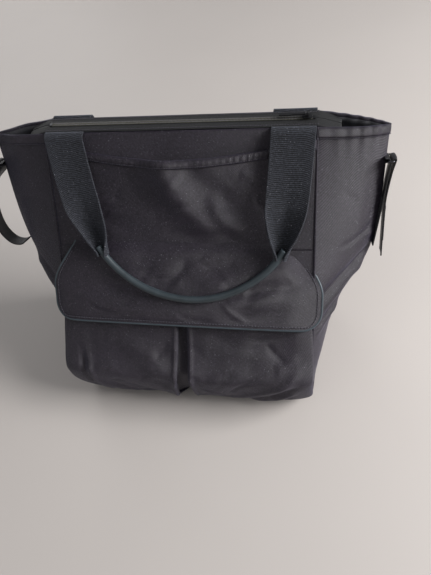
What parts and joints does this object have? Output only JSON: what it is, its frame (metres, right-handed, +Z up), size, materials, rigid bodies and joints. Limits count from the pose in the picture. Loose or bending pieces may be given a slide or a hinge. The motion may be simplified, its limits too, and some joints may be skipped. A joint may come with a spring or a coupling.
{
  "type": "fabric tote bag",
  "caption": "Zip-top fabric tote with folded side wings, slip pocket, piped flap over a pleated pocket, side straps and webbing handles with a sleeved grip.",
  "frame": {"origin": "middle of the flat base, on the surface that the bag stands on", "axes": "+Z up, -Y out of the front with the flap pocket, +X to the right seen from the front, across the bag's longest side"},
  "size_m": [0.5351, 0.2341, 0.3437],
  "materials": {
    "cloth": "matt black twill, lightly padded",
    "lining": "smooth plain-weave lining",
    "board": "plain stiffener board",
    "piping": "satin grey-teal leather-look piping",
    "grip_cover": "satin grey-teal leather-look sleeve",
    "grip_core": "soft foam cord",
    "webbing": "brushed charcoal webbing",
    "magnet": "thin sewn-in disc",
    "zip_tape": "woven zip tape",
    "zip_teeth": "olive-grey coil",
    "zip_metal": "dark painted zinc",
    "ring": "dark plated wire",
    "fastener": "hook and loop pad",
    "strap": "black ribbed webbing",
    "elastic": "flat elastic",
    "binding": "soft woven binding"
  },
  "bodies": {
    "bag": {"base_board": "board", "base_panel": "cloth", "flap_yoke": "cloth", "front_handle_anchors": "webbing", "front_handle_necks": "webbing", "front_panel": "cloth", "left_side_panel": "cloth", "left_wing_elastic": "elastic", "lining": "lining", "pocket_magnets": "magnet", "pocket_panel_left": "cloth", "pocket_panel_right": "cloth", "pocket_pleat": "cloth", "rear_handle_anchors": "webbing", "rear_handle_necks": "webbing", "rear_panel": "cloth", "right_side_panel": "cloth", "right_wing_elastic": "elastic", "ring_tab_left": "strap", "ring_tab_right": "strap", "side_strap_left": "strap", "side_strap_right": "strap", "slip_pocket": "cloth", "slip_pocket_binding": "binding", "strap_fasteners_left": "fastener", "strap_fasteners_right": "fastener", "strap_ring_left": "ring", "strap_ring_right": "ring", "yoke_piping": "piping", "zip_stops": "zip_metal", "zip_tape_front": "zip_tape", "zip_tape_rear": "zip_tape", "zip_teeth_front": "zip_teeth", "zip_teeth_rear": "zip_teeth"},
    "zip_slider": {"zip_slider": "zip_metal"},
    "zip_pull": {"zip_pull": "zip_metal"},
    "front_handle": {"front_grip_core": "grip_core", "front_grip_cover": "grip_cover", "front_handle_webbing_left": "webbing", "front_handle_webbing_right": "webbing"},
    "rear_handle": {"rear_grip_core": "grip_core", "rear_grip_cover": "grip_cover", "rear_handle_webbing_left": "webbing", "rear_handle_webbing_right": "webbing"},
    "flap": {"flap": "cloth", "flap_magnets": "magnet", "flap_piping": "piping"}
  },
  "joints": [
    {"name": "zip_travel", "type": "slide", "parent": "bag", "child": "zip_slider", "axis": [-1, 0, 0], "range_m": [0, 0.304]},
    {"name": "zip_pull_turn", "type": "hinge", "parent": "zip_slider", "child": "zip_pull", "pos_m": [0.152, 0.086, 0.3416], "axis": [0, 1, 0], "range_deg": [0, 180]},
    {"name": "front_handle_swing", "type": "hinge", "parent": "bag", "child": "front_handle", "pos_m": [0, 0.065, 0.335], "axis": [-1, 0, 0], "range_deg": [0, 142.4]},
    {"name": "rear_handle_swing", "type": "hinge", "parent": "bag", "child": "rear_handle", "pos_m": [0, 0.107, 0.335], "axis": [1, 0, 0], "range_deg": [0, 176.6]},
    {"name": "flap_lift", "type": "hinge", "parent": "bag", "child": "flap", "pos_m": [0, -0.05698, 0.166], "axis": [-1, 0, 0], "range_deg": [0, 85]}
  ]
}
